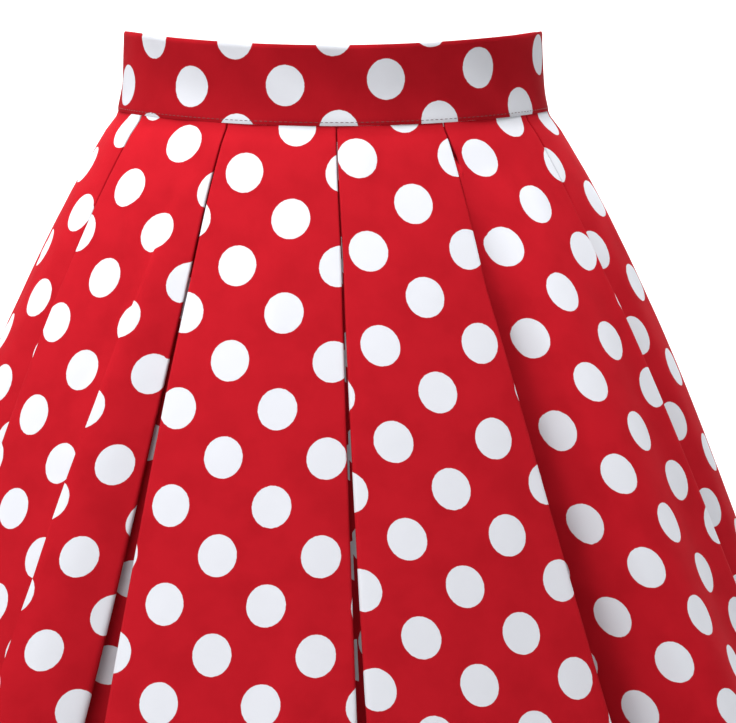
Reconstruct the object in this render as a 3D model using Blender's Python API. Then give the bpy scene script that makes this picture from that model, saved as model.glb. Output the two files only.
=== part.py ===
"""A pleated skirt of printed cotton, in the shape that it has when it is worn, with nobody in it.

It hangs from a contoured waistband. Inverted pleats are folded in under the band and open towards the
hem. A concealed zip closes the centre back. +Z is up, the front faces -Y and the wearer's left is +X.
The origin is where a waist holds it, in the middle of the waistband. Metres throughout.
"""
import math
from collections import namedtuple

import bmesh
import bpy
import numpy as np

# Driving sizes
BAND_HEIGHT = 0.050
BAND_WALL = 0.0022
BAND_PROUD = 0.0001
SKIRT_DROP = 0.610
SKIRT_WALL = 0.0011
SEAM_GAP = 0.0003
ZIP_SLIT = 0.0016
TOP_DIP_FRONT = 0.0079
TOP_DIP_BACK = 0.0120
SEAM_DIP_FRONT = 0.0068
SEAM_DIP_BACK = 0.0120
SIDE_SEAM = 0.2360
HALF_TURN = 0.5

# The form that the cloth hangs on. Drop is measured down from the waist seam at the side.
Ring = namedtuple("Ring", "drop half_width half_depth")
FORM = (
    Ring(-0.050, 0.1310, 0.0910),
    Ring(0.000, 0.1355, 0.0945),
    Ring(0.012, 0.1435, 0.1000),
    Ring(0.060, 0.1715, 0.1180),
    Ring(0.140, 0.2090, 0.1470),
    Ring(0.260, 0.2545, 0.1870),
    Ring(0.400, 0.3010, 0.2330),
    Ring(0.520, 0.3400, 0.2720),
    Ring(0.610, 0.3680, 0.3000),
)

# Inverted pleats, by their share of the way round from the centre front towards the wearer's left.
# Tucks are how far the faces before and after a pleat roll inwards to its folds, at the hem, and
# reach is how wide that roll is. Lean is how far a roll leans back over its pleat.
Pleat = namedtuple(
    "Pleat", "waist hip hem gap_hem lap_waist lap_hem depth_hem tuck_before tuck_after reach lean"
)
PLEATS = (
    Pleat(-0.4571, -0.457, -0.455, 0.020, 0.015, 0.004, 0.040, 0.000, 0.012, 0.068, 0.0),
    Pleat(-0.3714, -0.372, -0.370, 0.014, 0.025, 0.006, 0.038, 0.016, 0.000, 0.068, 0.0),
    Pleat(-0.2830, -0.280, -0.282, 0.024, 0.025, 0.003, 0.044, 0.000, 0.018, 0.068, 0.0),
    Pleat(-0.1810, -0.180, -0.190, 0.012, 0.026, 0.008, 0.038, 0.014, 0.000, 0.068, 0.0),
    Pleat(-0.0890, -0.087, -0.094, 0.028, 0.026, 0.004, 0.042, 0.018, 0.002, 0.068, 0.0),
    Pleat(0.0040, 0.007, 0.017, 0.013, 0.026, 0.007, 0.034, 0.006, 0.000, 0.068, 0.0),
    Pleat(0.0955, 0.091, 0.126, 0.005, 0.026, 0.006, 0.074, 0.006, 0.070, 0.090, 0.02),
    Pleat(0.1845, 0.184, 0.220, 0.012, 0.026, 0.008, 0.038, -0.014, 0.016, 0.068, 0.0),
    Pleat(0.2830, 0.286, 0.300, 0.018, 0.025, 0.005, 0.040, 0.012, 0.000, 0.068, 0.0),
    Pleat(0.3714, 0.372, 0.380, 0.026, 0.025, 0.003, 0.044, 0.000, 0.018, 0.068, 0.0),
    Pleat(0.4571, 0.458, 0.462, 0.014, 0.015, 0.005, 0.036, 0.014, 0.000, 0.068, 0.0),
)
GAP_WAIST = 0.0022
GAP_POWER = 1.6
LAP_POWER = 0.8
DEPTH_POWER = 1.2
FOLD_WAIST = 0.5
FOLD_HEM = 0.36
HIP_DROP = 0.100
LAYER_STEP = 0.0018
NOSE_KEEP = 0.0008
FIRST_BEND_SHARE = 0.8
FACE_START = 3.0
FOLD_SETTLES = 2.0
CURVE_HEM = 0.014
TUCK_POWER = 0.9
TUCK_REACH_WAIST = 0.018
TUCKED_BY = 0.22
OPEN_FROM = 0.014
OPEN_BY = 0.049

# Soft unpressed folds in the faces between pleats. Face n lies after pleat n, and the last one
# is the centre back. Place is a share of the face's width, rise is outwards at the hem, and lean
# is how far a fold leans towards the wearer's left for each metre that it rises.
SoftFold = namedtuple("SoftFold", "face place_waist place_hem start width_hem rise lean")
SOFT_FOLDS = (
    SoftFold(0, 0.45, 0.50, 0.16, 0.060, 0.010, 0.0),
    SoftFold(1, 0.50, 0.42, 0.10, 0.070, -0.014, 0.0),
    SoftFold(2, 0.40, 0.45, 0.12, 0.070, 0.014, 0.0),
    SoftFold(3, 0.66, 0.72, 0.03, 0.030, 0.024, -0.8),
    SoftFold(3, 0.40, 0.34, 0.06, 0.055, -0.008, 0.0),
    SoftFold(4, 0.50, 0.45, 0.20, 0.090, -0.006, 0.0),
    SoftFold(5, 0.45, 0.55, 0.18, 0.090, -0.008, 0.0),
    SoftFold(6, 0.42, 0.42, 0.03, 0.060, 0.036, 0.0),
    SoftFold(7, 0.50, 0.40, 0.12, 0.070, 0.012, 0.0),
    SoftFold(8, 0.55, 0.60, 0.10, 0.070, -0.014, 0.0),
    SoftFold(9, 0.45, 0.50, 0.14, 0.060, 0.012, 0.0),
    SoftFold(10, 0.30, 0.28, 0.24, 0.050, 0.008, 0.0),
    SoftFold(10, 0.70, 0.74, 0.24, 0.050, -0.008, 0.0),
)
FOLD_WIDTH_START = 0.45
FOLD_GROWTH = 0.9

# Fineness of the solids
SKIRT_ROWS = (0.0, 0.008, 0.030, 0.065, 0.110, 0.165, 0.235, 0.320, 0.415, 0.515, SKIRT_DROP)
BAND_ROWS = (-BAND_HEIGHT, -0.6 * BAND_HEIGHT, -0.25 * BAND_HEIGHT, 0.0)
CORNER_POINTS = (2, 2, 3, 3)
FACE_STEPS = 8
BAND_STEPS = 26
ARC_SAMPLES = 1441

# Concealed zip at the centre back. Its slider and pull tab are drawn about the pull's hinge.
ZIP_LENGTH = 0.215
TAPE_WIDTH = 0.011
TAPE_INWARD = 0.0014
TAPE_WALL = 0.0008
TAPE_TOP = 0.002
HINGE_BELOW_EDGE = 0.0070
HINGE_OUT = 0.0030
SLIDER_WIDTH = 0.0080
SLIDER_HEIGHT = 0.0100
SLIDER_WALL = 0.0016
SLIDER_BEHIND = 0.0058
NECK_WIDTH = 0.0010
BAIL_WINDOW = 0.0012
BAIL_BAR = 0.0008
PULL_BAR = 0.00055
PULL_EYE_WIDTH = 0.0024
PULL_EYE_BOTTOM = 0.0034
PULL_WIDTH = 0.0056
PULL_NECK = 0.0046
PULL_LENGTH = 0.0215
PULL_ROUNDING = 0.7
PULL_OUTLINE_STEPS = 24

RED = (0.66, 0.012, 0.028, 1.0)
TAPE_RED = (0.45, 0.010, 0.022, 1.0)
METAL_RED = (0.50, 0.012, 0.025, 1.0)


def clear_scene():
    for thing in list(bpy.data.objects):
        bpy.data.objects.remove(thing)


def material(name, colour, roughness, metallic=0.0):
    made = bpy.data.materials.new(name)
    made.use_nodes = True
    shader = made.node_tree.nodes["Principled BSDF"]
    shader.inputs["Base Color"].default_value = colour
    shader.inputs["Roughness"].default_value = roughness
    shader.inputs["Metallic"].default_value = metallic
    return made


def ease(x):
    x = min(1.0, max(0.0, x))
    return x * x * (3.0 - 2.0 * x)


def mix(start, end, share):
    return start + (end - start) * share


def through(xs, ys, x):
    """A smooth curve through a few rising rows, read at x. It never swings past a row."""
    runs = np.diff(ys) / np.diff(xs)
    slopes = np.concatenate([runs[:1], 2 * runs[1:] * runs[:-1] / (runs[1:] + runs[:-1]), runs[-1:]])
    i = int(np.clip(np.searchsorted(xs, x) - 1, 0, len(xs) - 2))
    width = xs[i + 1] - xs[i]
    t = (x - xs[i]) / width
    start = (2 * t**3 - 3 * t**2 + 1) * ys[i] + (t**3 - 2 * t**2 + t) * width * slopes[i]
    end = (3 * t**2 - 2 * t**3) * ys[i + 1] + (t**3 - t**2) * width * slopes[i + 1]
    return start + end


class Section:
    """One level ring of the form. It turns a share of the way round, and a depth inwards, into x and y."""

    def __init__(self, drop):
        drops = [ring.drop for ring in FORM]
        self.drop = drop
        self.a = through(drops, [ring.half_width for ring in FORM], drop)
        self.b = through(drops, [ring.half_depth for ring in FORM], drop)
        self.angles = np.linspace(-math.pi, math.pi, ARC_SAMPLES)
        x, y = self.a * np.sin(self.angles), -self.b * np.cos(self.angles)
        run = np.concatenate([[0.0], np.cumsum(np.hypot(np.diff(x), np.diff(y)))])
        self.length = run[-1]
        self.shares = run / self.length - HALF_TURN

    def point(self, share, inward):
        whole = math.floor(share + HALF_TURN)
        angle = float(np.interp(share - whole, self.shares, self.angles))
        nx, ny = math.sin(angle) / self.a, -math.cos(angle) / self.b
        scale = inward / math.hypot(nx, ny)
        return (self.a * math.sin(angle) - nx * scale, -self.b * math.cos(angle) - ny * scale)


def height(drop, facing):
    """World height. Both edges of the band dip at the centre front and back, and the hem is level.

    Facing is -1 at the centre back, 0 at the sides and 1 at the centre front."""
    front = facing > 0.0
    top = BAND_HEIGHT / 2 - (TOP_DIP_FRONT if front else TOP_DIP_BACK) * facing**2
    seam = -BAND_HEIGHT / 2 - (SEAM_DIP_FRONT if front else SEAM_DIP_BACK) * facing**2
    if drop <= 0.0:
        return mix(seam, top, -drop / BAND_HEIGHT)
    return mix(seam, -BAND_HEIGHT / 2 - SKIRT_DROP, drop / SKIRT_DROP)


def place_of(pleat, drop):
    """A pleat's share of the way round at this drop."""
    if drop < HIP_DROP:
        return mix(pleat.waist, pleat.hip, ease(drop / HIP_DROP))
    return mix(pleat.hip, pleat.hem, (drop - HIP_DROP) / (SKIRT_DROP - HIP_DROP))


def rounded(corners, radius):
    """A path from corners[0] that rounds off each corner after it, except the last."""
    points = [corners[0]]
    for i, count in enumerate(CORNER_POINTS, start=1):
        corner = np.array(corners[i])
        before, after = np.array(corners[i - 1]) - corner, np.array(corners[i + 1]) - corner
        runs = np.linalg.norm(before), np.linalg.norm(after)
        room = [FIRST_BEND_SHARE * runs[0] if i == 1 else (runs[0] - NOSE_KEEP) / 2]
        room.append((runs[1] - NOSE_KEEP) / 2)
        reach = min([radius, *room])
        start, end = corner + before / runs[0] * reach, corner + after / runs[1] * reach
        for step in range(count):
            t = step / (count - 1)
            bend = np.array(mix(mix(start, corner, t), mix(corner, end, t), t))
            points.append(tuple(bend))
    return points


def tuck_growth(down):
    """How much of its tuck at the hem a face has, from none at the waist seam."""
    return down**TUCK_POWER * ease(down / TUCKED_BY)


def pleat_half(pleat, drop, side_of_roll, tuck_hem):
    """Half of an inverted pleat, from its middle out to the face, as (along, inward) pairs.

    Inward is measured from the face beside it. Beside a roll that leans, the folds open to nothing."""
    down = drop / SKIRT_DROP
    gap = mix(GAP_WAIST, pleat.gap_hem, down**GAP_POWER)
    lap = mix(pleat.lap_waist, pleat.lap_hem, ease(down**LAP_POWER))
    depth = mix(2 * LAYER_STEP, pleat.depth_hem, down**DEPTH_POWER)
    rolls = side_of_roll and pleat.lean > 0.0
    opened = ease((down - OPEN_FROM) / (OPEN_BY - OPEN_FROM)) if rolls else 0.0
    if opened == 0.0:
        depth -= tuck_hem * tuck_growth(down)
    fold = depth * mix(FOLD_WAIST, FOLD_HEM, ease(FOLD_SETTLES * down))
    edge = gap / 2
    back = edge + lap
    radius = mix(LAYER_STEP / 2, CURVE_HEM, down)
    corners = [(0.0, depth), (back, depth), (back, depth - fold), (edge, fold), (edge, 0.0)]
    wide = edge + FACE_START * radius
    corners.append((wide, 0.0))
    half = rounded(corners, radius)
    last = len(half) - 1
    return [
        (mix(along, wide * i / last, opened), inward * (1.0 - opened))
        for i, (along, inward) in enumerate(half)
    ]


def tucked(along, tuck_hem, reach_hem, drop):
    """How far a face lies inwards, this far along from the middle of its pleat."""
    down = drop / SKIRT_DROP
    reach = mix(TUCK_REACH_WAIST, reach_hem, down)
    return tuck_hem * tuck_growth(down) * (1.0 - ease(along / reach))


def leaning(along, pleat, width, drop):
    """How far a roll's crest leans back over its pleat. The rest of the face makes up for it."""
    down = drop / SKIRT_DROP
    reach = mix(TUCK_REACH_WAIST, pleat.reach, down)
    crest = pleat.lean * pleat.tuck_after * tuck_growth(down)
    return crest * ease(along / reach) * (1.0 - ease((along - reach) / (width - reach)))


def face_shape(face, share, width, drop):
    """How far inwards and along a face is moved from the form, at this share of its width."""
    first, last = PLEATS[face], PLEATS[(face + 1) % len(PLEATS)]
    along = share * width
    inward = tucked(along, first.tuck_after, first.reach, drop)
    inward += tucked(width - along, last.tuck_before, last.reach, drop)
    slide = -leaning(along, first, width, drop)
    for fold in SOFT_FOLDS:
        if fold.face != face or drop <= fold.start:
            continue
        grown = (drop - fold.start) / (SKIRT_DROP - fold.start)
        place = mix(fold.place_waist, fold.place_hem, drop / SKIRT_DROP)
        spread = fold.width_hem * mix(FOLD_WIDTH_START, 1.0, grown) / width
        held = math.sin(math.pi * share)
        level = math.exp(-(((share - place) / spread) ** 2)) * held * (2.0 - held)
        rise = fold.rise * grown**FOLD_GROWTH * level
        inward -= rise
        slide += fold.lean * rise
    return inward, slide


def cloth_line(drop, start, end, start_gap, end_gap):
    """The middle line of the cloth in one ring, from one seam to the next."""
    ring = Section(drop)
    count = len(PLEATS)
    stops = [(start, None)]
    for lap in (0, 1):
        for i, pleat in enumerate(PLEATS):
            share = place_of(pleat, drop) + lap
            if start < share < end:
                stops.append((share, i))
    stops.append((end, None))
    line = []
    for (left, left_pleat), (right, right_pleat) in zip(stops, stops[1:]):
        face = (right_pleat - 1) % count if left_pleat is None else left_pleat
        first, last = PLEATS[face], PLEATS[(face + 1) % count]
        face_start = place_of(first, drop)
        width = ((place_of(last, drop) - face_start) % 1.0) * ring.length
        after_half = pleat_half(first, drop, True, first.tuck_after)
        before_half = pleat_half(last, drop, False, last.tuck_before)
        begin, finish = left + start_gap / ring.length, right - end_gap / ring.length
        places = []
        if left_pleat is not None:
            places += [(along, inward) for along, inward in after_half[1:]]
            begin = left + after_half[-1][0] / ring.length
        if right_pleat is not None:
            finish = right - before_half[-1][0] / ring.length
        steps = FACE_STEPS // 2 if None in (left_pleat, right_pleat) else FACE_STEPS
        for j in range(left_pleat is not None, steps + (right_pleat is None)):
            share = mix(begin, finish, j / steps)
            places.append((((share - face_start) % 1.0) * ring.length, 0.0))
        if right_pleat is not None:
            places += [(width - along, inward) for along, inward in reversed(before_half)]
        for along, inward in places:
            depth, slide = face_shape(face, along / width, width, drop)
            line.append(ring.point(face_start + (along + slide) / ring.length, depth + inward))
    return ring, np.array(line)


def both_sides(line, outward, inward):
    """The outer and inner lines of a wall along its middle line, held to its thickness at the folds."""
    runs = np.diff(line, axis=0)
    runs /= np.linalg.norm(runs, axis=1)[:, None]
    normals = np.stack([runs[:, 1], -runs[:, 0]], axis=1)
    before = np.vstack([normals[:1], normals])
    after = np.vstack([normals, normals[-1:]])
    facing = (before + after) / (1.0 + np.sum(before * after, axis=1))[:, None]
    return line + facing * outward, line - facing * inward


def raised(ring, line, lift):
    """A ring's line with each point's height."""
    turned = np.arctan2(line[:, 0] / ring.a, -line[:, 1] / ring.b)
    return [(x, y, height(ring.drop, math.cos(angle)) + lift) for (x, y), angle in zip(line, turned)]


def add_object(name, points, faces, finish):
    mesh = bpy.data.meshes.new(name)
    mesh.from_pydata([tuple(p) for p in points], [], faces)
    mesh.validate()
    mesh.materials.append(finish)
    mesh.shade_smooth()
    mesh.set_sharp_from_angle(angle=math.radians(40))
    made = bpy.data.objects.new(name, mesh)
    bpy.context.scene.collection.objects.link(made)
    return made


def add_wall(name, outer, inner, finish):
    """A closed wall from two grids of points, each a list of rows from top to bottom."""
    rows, columns = len(outer), len(outer[0])
    points = [p for row in outer + inner for p in row]
    behind = rows * columns
    faces = []
    for r in range(rows - 1):
        for c in range(columns - 1):
            a = r * columns + c
            b, d, e = a + 1, a + columns, a + columns + 1
            faces.append((a, d, e, b))
            faces.append((behind + a, behind + b, behind + e, behind + d))
    for c in range(columns - 1):
        last = (rows - 1) * columns + c
        faces.append((c, c + 1, behind + c + 1, behind + c))
        faces.append((last + 1, last, behind + last, behind + last + 1))
    for r in range(rows - 1):
        a, d = r * columns, (r + 1) * columns
        e, f = a + columns - 1, d + columns - 1
        faces.append((d, a, behind + a, behind + d))
        faces.append((e, f, behind + f, behind + e))
    return add_object(name, points, faces, finish)


def centre_back_gap(drop):
    """The slit for the zip is open down to the zip's end, and the seam below it is closed."""
    return ZIP_SLIT / 2 if drop + BAND_HEIGHT <= ZIP_LENGTH else SEAM_GAP / 2


def skirt_piece(name, start, end, finish):
    outer, inner = [], []
    for drop in SKIRT_ROWS:
        start_gap = centre_back_gap(drop) if start == HALF_TURN else SEAM_GAP / 2
        end_gap = centre_back_gap(drop) if end == HALF_TURN else SEAM_GAP / 2
        ring, line = cloth_line(drop, start, end, start_gap, end_gap)
        lift = -SEAM_GAP / 2 * (1.0 - drop / SKIRT_DROP)
        out, into = both_sides(line, SKIRT_WALL / 2, SKIRT_WALL / 2)
        outer.append(raised(ring, out, lift))
        inner.append(raised(ring, into, lift))
    add_wall(name, outer, inner, finish)


def band_piece(name, start, end, steps, finish):
    outer, inner = [], []
    for drop in BAND_ROWS:
        ring = Section(drop)
        start_gap = centre_back_gap(drop) if start == HALF_TURN else SEAM_GAP / 2
        end_gap = centre_back_gap(drop) if end == HALF_TURN else SEAM_GAP / 2
        begin, finish_share = start + start_gap / ring.length, end - end_gap / ring.length
        line = np.array([ring.point(mix(begin, finish_share, j / steps), 0.0) for j in range(steps + 1)])
        lift = SEAM_GAP / 2 * (1.0 + drop / BAND_HEIGHT)
        out, into = both_sides(line, BAND_PROUD + BAND_WALL / 2, BAND_WALL / 2 - BAND_PROUD)
        outer.append(raised(ring, out, lift))
        inner.append(raised(ring, into, lift))
    add_wall(name, outer, inner, finish)


def zip_tape(name, side, finish):
    """A flat tape beside the slit, on the inside of the band and the skirt."""
    bottom = -BAND_HEIGHT + ZIP_LENGTH
    between = [drop for drop in BAND_ROWS[1:] + SKIRT_ROWS[1:] if drop < bottom]
    outer, inner = [], []
    for drop in [-BAND_HEIGHT + TAPE_TOP, *between, bottom]:
        ring = Section(drop)
        places = sorted(side * along for along in (ZIP_SLIT / 2, TAPE_WIDTH / 2, TAPE_WIDTH))
        shares = [HALF_TURN + place / ring.length for place in places]
        out = np.array([ring.point(share, TAPE_INWARD) for share in shares])
        into = np.array([ring.point(share, TAPE_INWARD + TAPE_WALL) for share in shares])
        outer.append(raised(ring, out, 0.0))
        inner.append(raised(ring, into, 0.0))
    add_wall(name, outer, inner, finish)


def box(lows, highs):
    points = [(x, y, z) for x in (lows[0], highs[0]) for y in (lows[1], highs[1]) for z in (lows[2], highs[2])]
    faces = [(0, 1, 3, 2), (4, 6, 7, 5), (0, 4, 5, 1), (2, 3, 7, 6), (0, 2, 6, 4), (1, 5, 7, 3)]
    return points, faces


def framed_plate(outline, hole, across, half_thick):
    """A plate with one hole, from two outlines with the same number of points, thick along one axis."""
    count = len(outline)
    flat = outline + hole
    points = [across(u, v, half_thick) for u, v in flat] + [across(u, v, -half_thick) for u, v in flat]
    back = 2 * count
    faces = []
    for i in range(count):
        j = (i + 1) % count
        faces.append((i, j, count + j, count + i))
        faces.append((back + i, back + count + i, back + count + j, back + j))
        faces.append((i, back + i, back + j, j))
        faces.append((count + i, count + j, back + count + j, back + count + i))
    return points, faces


def outward_faces(thing):
    mesh = bmesh.new()
    mesh.from_mesh(thing.data)
    bmesh.ops.recalc_face_normals(mesh, faces=mesh.faces)
    mesh.to_mesh(thing.data)
    mesh.free()


def zip_slider(finish):
    """A block behind the tapes, with a thin neck through the slit that ends in a square bail."""
    window, bar = BAIL_WINDOW, BAIL_BAR
    reach = window + bar
    outline = [(-SLIDER_BEHIND - SLIDER_WALL / 2, -reach), (reach, -reach), (reach, reach)]
    outline.append((-SLIDER_BEHIND - SLIDER_WALL / 2, reach))
    hole = [(-window, -window), (window, -window), (window, window), (-window, window)]
    points, faces = framed_plate(outline, hole, lambda y, z, x: (x, y, z), NECK_WIDTH / 2)
    bail = add_object("zip_slider", points, faces, finish)
    outward_faces(bail)
    lows = (-SLIDER_WIDTH / 2, -SLIDER_BEHIND - SLIDER_WALL, -SLIDER_HEIGHT / 2)
    highs = (SLIDER_WIDTH / 2, -SLIDER_BEHIND, SLIDER_HEIGHT / 2)
    block = add_object("slider_block", *box(lows, highs), finish)
    outward_faces(block)
    block.hide_render = True
    block.display_type = "WIRE"
    join = bail.modifiers.new("join", "BOOLEAN")
    join.operation = "UNION"
    join.object = block
    return bail, block


def zip_pull(finish):
    """A flat tab with an eye at its top. It hangs from the bail by the bar above the eye."""
    half_eye = PULL_EYE_WIDTH / 2
    middle = -(PULL_BAR + PULL_EYE_BOTTOM) / 2
    half_high = (PULL_EYE_BOTTOM - PULL_BAR) / 2
    outline, hole = [], []
    for step in range(PULL_OUTLINE_STEPS):
        angle = 2 * math.pi * (step + 0.5) / PULL_OUTLINE_STEPS
        ux, uz = math.sin(angle), math.cos(angle)
        stretch = 1.0 / max(abs(ux) / half_eye, abs(uz) / half_high)
        hole.append((ux * stretch, middle + uz * stretch))
        if uz > 0.0:
            outline.append((ux * PULL_NECK / 2, middle + uz * (PULL_BAR - middle)))
        else:
            low = -uz
            width = mix(PULL_NECK, PULL_WIDTH, low) / 2 * math.copysign(abs(ux) ** PULL_ROUNDING, ux)
            outline.append((width, middle - low * (PULL_LENGTH + middle)))
    points, faces = framed_plate(outline, hole, lambda x, z, y: (x, y, z), PULL_BAR)
    pull = add_object("zip_pull", points, faces, finish)
    outward_faces(pull)
    return pull


def hinge_place():
    """Where the pull's hinge lies at the centre back, and how far the band leans outwards there."""
    drop = HINGE_BELOW_EDGE - BAND_HEIGHT
    here, below = Section(drop), Section(drop + PULL_LENGTH)
    lean = math.atan2(below.b - here.b, PULL_LENGTH)
    return (0.0, here.b + HINGE_OUT, height(drop, -1.0)), lean


def main():
    clear_scene()
    cloth = material("printed_cotton", RED, 0.85)
    tape = material("zip_tape", TAPE_RED, 0.8)
    metal = material("enamelled_metal", METAL_RED, 0.35, 0.3)
    band_piece("waistband_front", -SIDE_SEAM, SIDE_SEAM, BAND_STEPS, cloth)
    band_piece("waistband_back_left", SIDE_SEAM, HALF_TURN, BAND_STEPS // 2, cloth)
    band_piece("waistband_back_right", HALF_TURN, 1 - SIDE_SEAM, BAND_STEPS // 2, cloth)
    skirt_piece("skirt_front", -SIDE_SEAM, SIDE_SEAM, cloth)
    skirt_piece("skirt_back_left", SIDE_SEAM, HALF_TURN, cloth)
    skirt_piece("skirt_back_right", HALF_TURN, 1 - SIDE_SEAM, cloth)
    zip_tape("zip_tape_left", -1.0, tape)
    zip_tape("zip_tape_right", 1.0, tape)
    hinge, lean = hinge_place()
    for thing in (*zip_slider(metal), zip_pull(metal)):
        thing.location = hinge
        thing.rotation_euler = (lean, 0.0, 0.0)


main()
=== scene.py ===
"""A red cotton skirt with white spots: its printed cloth, sewing and zip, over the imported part.

Metres, +Z up. The front faces -Y and the wearer's left is +X.
"""
import math
from collections import namedtuple

import bpy
import numpy as np
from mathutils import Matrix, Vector


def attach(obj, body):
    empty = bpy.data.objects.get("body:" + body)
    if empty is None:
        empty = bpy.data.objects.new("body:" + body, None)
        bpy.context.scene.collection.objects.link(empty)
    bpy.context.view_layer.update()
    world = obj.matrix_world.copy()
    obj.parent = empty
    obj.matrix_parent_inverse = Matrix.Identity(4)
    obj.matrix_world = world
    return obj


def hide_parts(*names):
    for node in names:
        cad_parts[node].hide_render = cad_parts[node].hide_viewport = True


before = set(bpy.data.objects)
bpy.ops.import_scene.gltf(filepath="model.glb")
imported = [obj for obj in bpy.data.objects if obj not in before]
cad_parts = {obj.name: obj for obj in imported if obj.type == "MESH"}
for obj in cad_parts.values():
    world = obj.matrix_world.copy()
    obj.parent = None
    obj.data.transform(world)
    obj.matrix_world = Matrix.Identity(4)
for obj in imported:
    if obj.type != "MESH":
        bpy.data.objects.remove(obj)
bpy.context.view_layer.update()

# Sizes of the garment
BAND_HEIGHT = 0.050
BAND_WALL = 0.0021
BAND_PROUD = 0.0002
SKIRT_DROP = 0.610
CLOTH = 0.0007
SEAM_GAP = 0.0002
SEAM_SHUT = 0.00001
SEAM_SUNK = 0.0005
SHUT_WITHIN = 0.020
TOP_DIP_FRONT = 0.0079
TOP_DIP_BACK = 0.0120
SEAM_DIP_FRONT = 0.0068
SEAM_DIP_BACK = 0.0120
SIDE_SEAM = 0.2360
HALF_TURN = 0.5
SAME_PLACE = 1e-6

# The form that the cloth hangs on. Drop is measured down from the waist seam at the side.
Ring = namedtuple("Ring", "drop half_width half_depth")
FORM = (
    Ring(-0.050, 0.1310, 0.0910),
    Ring(0.000, 0.1355, 0.0945),
    Ring(0.012, 0.1435, 0.1000),
    Ring(0.060, 0.1715, 0.1180),
    Ring(0.140, 0.2090, 0.1470),
    Ring(0.260, 0.2545, 0.1870),
    Ring(0.400, 0.3010, 0.2330),
    Ring(0.520, 0.3400, 0.2720),
    Ring(0.610, 0.3680, 0.3000),
)

# Inverted pleats, by their share of the way round from the centre front towards the wearer's left.
# Tucks are how far the faces before and after a pleat roll inwards to its folds, at the hem, and
# reach is how wide that roll is. Lean is how far a roll leans back over its pleat.
Pleat = namedtuple(
    "Pleat", "waist hip hem gap_hem lap_waist lap_hem depth_hem tuck_before tuck_after reach lean"
)
PLEATS = (
    Pleat(-0.4571, -0.457, -0.455, 0.020, 0.015, 0.004, 0.040, 0.000, 0.012, 0.068, 0.0),
    Pleat(-0.3714, -0.372, -0.370, 0.014, 0.025, 0.006, 0.038, 0.016, 0.000, 0.068, 0.0),
    Pleat(-0.2830, -0.280, -0.282, 0.024, 0.025, 0.003, 0.044, 0.000, 0.018, 0.068, 0.0),
    Pleat(-0.1810, -0.180, -0.190, 0.012, 0.026, 0.008, 0.038, 0.014, 0.000, 0.068, 0.0),
    Pleat(-0.0890, -0.087, -0.094, 0.028, 0.026, 0.004, 0.042, 0.018, 0.002, 0.068, 0.0),
    Pleat(0.0040, 0.007, 0.017, 0.013, 0.026, 0.007, 0.034, 0.006, 0.000, 0.068, 0.0),
    Pleat(0.0955, 0.0945, 0.129, 0.005, 0.026, 0.006, 0.066, 0.006, 0.055, 0.066, 0.02),
    Pleat(0.1845, 0.184, 0.220, 0.012, 0.026, 0.008, 0.038, -0.014, 0.016, 0.068, 0.0),
    Pleat(0.2830, 0.286, 0.300, 0.018, 0.025, 0.005, 0.040, 0.012, 0.000, 0.068, 0.0),
    Pleat(0.3714, 0.372, 0.380, 0.026, 0.025, 0.003, 0.044, 0.000, 0.018, 0.068, 0.0),
    Pleat(0.4571, 0.458, 0.462, 0.014, 0.015, 0.005, 0.036, 0.014, 0.000, 0.068, 0.0),
)

# How every pleat is folded, and how it grows from the waist seam to the hem
FIRST_BEND_SHARE = 0.8
FACE_START = 3.0
FOLD_SETTLES = 2.0
GAP_WAIST = 0.0014
GAP_POWER = 1.6
LAP_POWER = 0.8
DEPTH_POWER = 1.2
FOLD_WAIST = 0.5
FOLD_HEM = 0.36
HIP_DROP = 0.100
LAYER_STEP = 0.0018
NOSE_KEEP = 0.0004
CURVE_HEM = 0.014
TUCK_POWER = 0.9
TUCK_REACH_WAIST = 0.018
TUCKED_BY = 0.22
OPEN_FROM = 0.014
OPEN_BY = 0.049

# Soft unpressed folds in the faces between pleats. Face n lies after pleat n, and the last one
# is the centre back. Place is a share of the face's width, rise is outwards at the hem, and lean
# is how far a fold leans towards the wearer's left for each metre that it rises.
SoftFold = namedtuple("SoftFold", "face place_waist place_hem start width_hem rise lean")
SOFT_FOLDS = (
    SoftFold(0, 0.45, 0.50, 0.16, 0.060, 0.010, 0.0),
    SoftFold(1, 0.50, 0.42, 0.10, 0.070, -0.014, 0.0),
    SoftFold(2, 0.40, 0.45, 0.12, 0.070, 0.014, 0.0),
    SoftFold(3, 0.84, 0.88, 0.03, 0.018, 0.034, -3.0),
    SoftFold(3, 0.40, 0.34, 0.06, 0.055, -0.008, 0.0),
    SoftFold(4, 0.50, 0.45, 0.20, 0.090, -0.006, 0.0),
    SoftFold(5, 0.45, 0.55, 0.18, 0.090, -0.008, 0.0),
    SoftFold(6, 0.42, 0.42, 0.03, 0.058, 0.050, 0.0),
    SoftFold(7, 0.50, 0.40, 0.12, 0.070, 0.012, 0.0),
    SoftFold(8, 0.55, 0.60, 0.10, 0.070, -0.014, 0.0),
    SoftFold(9, 0.45, 0.50, 0.14, 0.060, 0.012, 0.0),
    SoftFold(10, 0.30, 0.28, 0.24, 0.050, 0.008, 0.0),
    SoftFold(10, 0.70, 0.74, 0.24, 0.050, -0.008, 0.0),
)
FOLD_WIDTH_START = 0.45
FOLD_GROWTH = 0.9

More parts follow.
